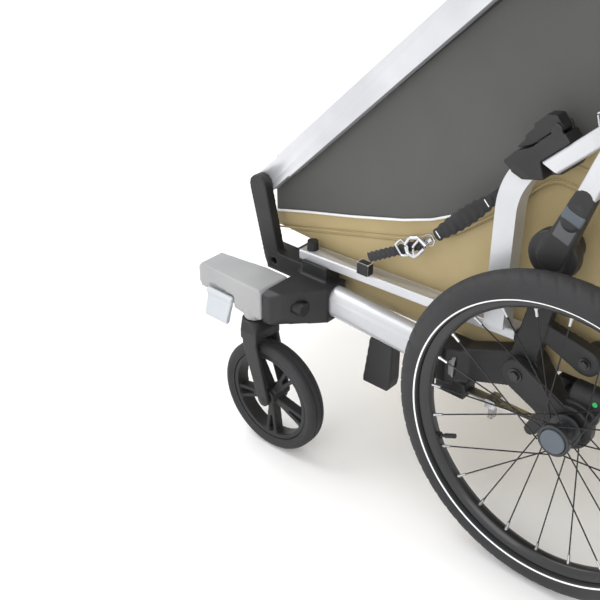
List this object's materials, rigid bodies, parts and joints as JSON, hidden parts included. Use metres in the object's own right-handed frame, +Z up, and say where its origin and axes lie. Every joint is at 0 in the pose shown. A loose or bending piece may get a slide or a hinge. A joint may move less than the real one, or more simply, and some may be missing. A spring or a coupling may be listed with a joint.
{
  "type": "child bicycle trailer",
  "caption": "Folding child bicycle trailer: padded fabric cabin on a tubular frame with sprung spoked wheels, flip-up stroller casters and a tilting push bar.",
  "frame": {"origin": "on the ground, at the middle of the trailer's box in plan", "axes": "+Z up, -Y is the trailer's front, +X is its left side"},
  "size_m": [0.83, 1.1509, 1.0366],
  "materials": {
    "silver_tube": "satin anodised",
    "black_casting": "fine-grained moulded",
    "black_tube": "satin powder coat",
    "khaki_fabric": "coated woven",
    "window_mesh": "dense mesh",
    "seat_fabric": "padded weave",
    "strap": "webbing",
    "spring_steel": "brushed",
    "tyre_rubber": "moulded rubber",
    "rim_black": "satin",
    "spoke_black": "gloss black",
    "hub_black": "satin",
    "button_blue": "satin",
    "arm_grey": "fine-grained moulded",
    "latch_grey": "satin",
    "caster_black": "moulded nylon"
  },
  "bodies": {
    "chassis": {"base_tubes": "silver_tube", "side_rails": "silver_tube", "front_corner_left": "black_casting", "front_corner_right": "black_casting", "front_crossbar": "black_tube", "axle_crossbar": "black_tube", "rear_loop": "black_tube", "yoke_left": "black_casting", "yoke_right": "black_casting", "post_left": "silver_tube", "post_right": "silver_tube", "fold_housings": "black_casting", "tow_receiver": "black_casting", "cabin_tub": "khaki_fabric", "seat_base": "seat_fabric", "skid_feet": "black_casting", "leaf_springs": "spring_steel", "side_straps": "strap", "seat_back": "seat_fabric", "cargo_bag": "khaki_fabric", "window_left": "window_mesh", "window_right": "window_mesh"},
    "upper_frame": {"front_tube_left": "silver_tube", "front_tube_right": "silver_tube", "rear_tube_left": "silver_tube", "rear_tube_right": "silver_tube", "roof_bar": "silver_tube", "canopy": "khaki_fabric", "handlebar_hubs": "black_casting"},
    "handlebar": {"handlebar": "black_tube"},
    "handle_trigger": {"handle_trigger": "button_blue"},
    "brake_pedal": {"brake_pedal": "black_casting"},
    "fold_latch_left": {"fold_latch_left": "black_casting"},
    "trailing_arm_left": {"trailing_arm_left": "black_casting"},
    "strut_left": {"strut_left": "silver_tube"},
    "wheel_left": {"tyre_left": "tyre_rubber", "rim_left": "rim_black", "spokes_left": "spoke_black", "hub_left": "hub_black"},
    "hub_button_left": {"hub_button_left": "button_blue"},
    "arm_spigot_left": {"arm_spigot_left": "spring_steel"},
    "stroller_arm_left": {"stroller_arm_left": "arm_grey"},
    "arm_latch_left": {"arm_latch_left": "latch_grey"},
    "fork_left": {"fork_left": "caster_black"},
    "caster_left": {"caster_tyre_left": "tyre_rubber", "caster_wheel_left": "caster_black"},
    "fold_latch_right": {"fold_latch_right": "black_casting"},
    "trailing_arm_right": {"trailing_arm_right": "black_casting"},
    "strut_right": {"strut_right": "silver_tube"},
    "wheel_right": {"tyre_right": "tyre_rubber", "rim_right": "rim_black", "spokes_right": "spoke_black", "hub_right": "hub_black"},
    "hub_button_right": {"hub_button_right": "button_blue"},
    "arm_spigot_right": {"arm_spigot_right": "spring_steel"},
    "stroller_arm_right": {"stroller_arm_right": "arm_grey"},
    "arm_latch_right": {"arm_latch_right": "latch_grey"},
    "fork_right": {"fork_right": "caster_black"},
    "caster_right": {"caster_tyre_right": "tyre_rubber", "caster_wheel_right": "caster_black"}
  },
  "joints": [
    {"name": "frame_fold", "type": "hinge", "parent": "chassis", "child": "upper_frame", "pos_m": [0, -0.518, 0.42], "axis": [-1, 0, 0], "range_deg": [0, 7], "deforming": ["canopy", "window_left", "window_right", "seat_back", "cargo_bag"]},
    {"name": "handlebar_tilt", "type": "hinge", "parent": "upper_frame", "child": "handlebar", "pos_m": [0, 0.372, 0.952], "axis": [1, 0, 0], "range_deg": [-60, 40]},
    {"name": "handle_trigger_squeeze", "type": "slide", "parent": "handlebar", "child": "handle_trigger", "axis": [0, 0.9397, 0.342], "range_m": [0, 0.006], "stiffness_N_per_m": 400},
    {"name": "brake_pedal_press", "type": "hinge", "parent": "chassis", "child": "brake_pedal", "pos_m": [0, 0.34659, 0.2557], "axis": [-1, 0, 0], "range_deg": [0, 18]},
    {"name": "strut_fold_left", "type": "hinge", "parent": "chassis", "child": "strut_left", "pos_m": [0.322, 0.031, 0.5], "axis": [-1, 0, 0], "range_deg": [0, 12]},
    {"name": "fold_latch_lift_left", "type": "hinge", "parent": "chassis", "child": "fold_latch_left", "pos_m": [0.3, 0.007, 0.662], "axis": [-1, 0, 0], "range_deg": [0, 35], "stiffness_Nm_per_rad": 0.3, "springref_deg": -5.73},
    {"name": "suspension_left", "type": "hinge", "parent": "chassis", "child": "trailing_arm_left", "pos_m": [0.29, -0.003, 0.295], "axis": [1, 0, 0], "range_deg": [-2, 5], "stiffness_Nm_per_rad": 1500, "springref_deg": -0.34, "deforming": ["leaf_springs"]},
    {"name": "wheel_spin_left", "type": "hinge", "parent": "trailing_arm_left", "child": "wheel_left", "pos_m": [0.365, 0.087, 0.25], "axis": [1, 0, 0], "continuous": true},
    {"name": "hub_button_push_left", "type": "slide", "parent": "wheel_left", "child": "hub_button_left", "axis": [-1, 0, 0], "range_m": [0, 0.0025], "stiffness_N_per_m": 600},
    {"name": "arm_pull_left", "type": "slide", "parent": "chassis", "child": "arm_spigot_left", "axis": [0, -1, 0], "range_m": [0, 0.045]},
    {"name": "arm_flip_left", "type": "hinge", "parent": "arm_spigot_left", "child": "stroller_arm_left", "pos_m": [0.358, -0.473, 0.27], "axis": [0, -1, 0], "range_deg": [0, 180]},
    {"name": "arm_latch_open_left", "type": "hinge", "parent": "stroller_arm_left", "child": "arm_latch_left", "pos_m": [0.397, -0.516, 0.256], "axis": [0, -1, 0], "range_deg": [0, 60]},
    {"name": "caster_swivel_left", "type": "hinge", "parent": "stroller_arm_left", "child": "fork_left", "pos_m": [0.384, -0.452, 0.235], "axis": [0, 0, 1], "continuous": true},
    {"name": "caster_spin_left", "type": "hinge", "parent": "fork_left", "child": "caster_left", "pos_m": [0.384, -0.41, 0.1], "axis": [1, 0, 0], "continuous": true},
    {"name": "strut_fold_right", "type": "hinge", "parent": "chassis", "child": "strut_right", "pos_m": [-0.322, 0.031, 0.5], "axis": [-1, 0, 0], "range_deg": [0, 12]},
    {"name": "fold_latch_lift_right", "type": "hinge", "parent": "chassis", "child": "fold_latch_right", "pos_m": [-0.3, 0.007, 0.662], "axis": [-1, 0, 0], "range_deg": [0, 35], "stiffness_Nm_per_rad": 0.3, "springref_deg": -5.73},
    {"name": "suspension_right", "type": "hinge", "parent": "chassis", "child": "trailing_arm_right", "pos_m": [-0.29, -0.003, 0.295], "axis": [1, 0, 0], "range_deg": [-2, 5], "stiffness_Nm_per_rad": 1500, "springref_deg": -0.34, "deforming": ["leaf_springs"]},
    {"name": "wheel_spin_right", "type": "hinge", "parent": "trailing_arm_right", "child": "wheel_right", "pos_m": [-0.365, 0.087, 0.25], "axis": [1, 0, 0], "continuous": true},
    {"name": "hub_button_push_right", "type": "slide", "parent": "wheel_right", "child": "hub_button_right", "axis": [1, 0, 0], "range_m": [0, 0.0025], "stiffness_N_per_m": 600},
    {"name": "arm_pull_right", "type": "slide", "parent": "chassis", "child": "arm_spigot_right", "axis": [0, -1, 0], "range_m": [0, 0.045]},
    {"name": "arm_flip_right", "type": "hinge", "parent": "arm_spigot_right", "child": "stroller_arm_right", "pos_m": [-0.358, -0.473, 0.27], "axis": [0, 1, 0], "range_deg": [0, 180]},
    {"name": "arm_latch_open_right", "type": "hinge", "parent": "stroller_arm_right", "child": "arm_latch_right", "pos_m": [-0.397, -0.516, 0.256], "axis": [0, 1, 0], "range_deg": [0, 60]},
    {"name": "caster_swivel_right", "type": "hinge", "parent": "stroller_arm_right", "child": "fork_right", "pos_m": [-0.384, -0.452, 0.235], "axis": [0, 0, 1], "continuous": true},
    {"name": "caster_spin_right", "type": "hinge", "parent": "fork_right", "child": "caster_right", "pos_m": [-0.384, -0.41, 0.1], "axis": [1, 0, 0], "continuous": true}
  ],
  "couplings": [
    {"joint": "strut_fold_left", "follows": "frame_fold", "ratio": 1.6},
    {"joint": "strut_fold_right", "follows": "frame_fold", "ratio": 1.6}
  ]
}
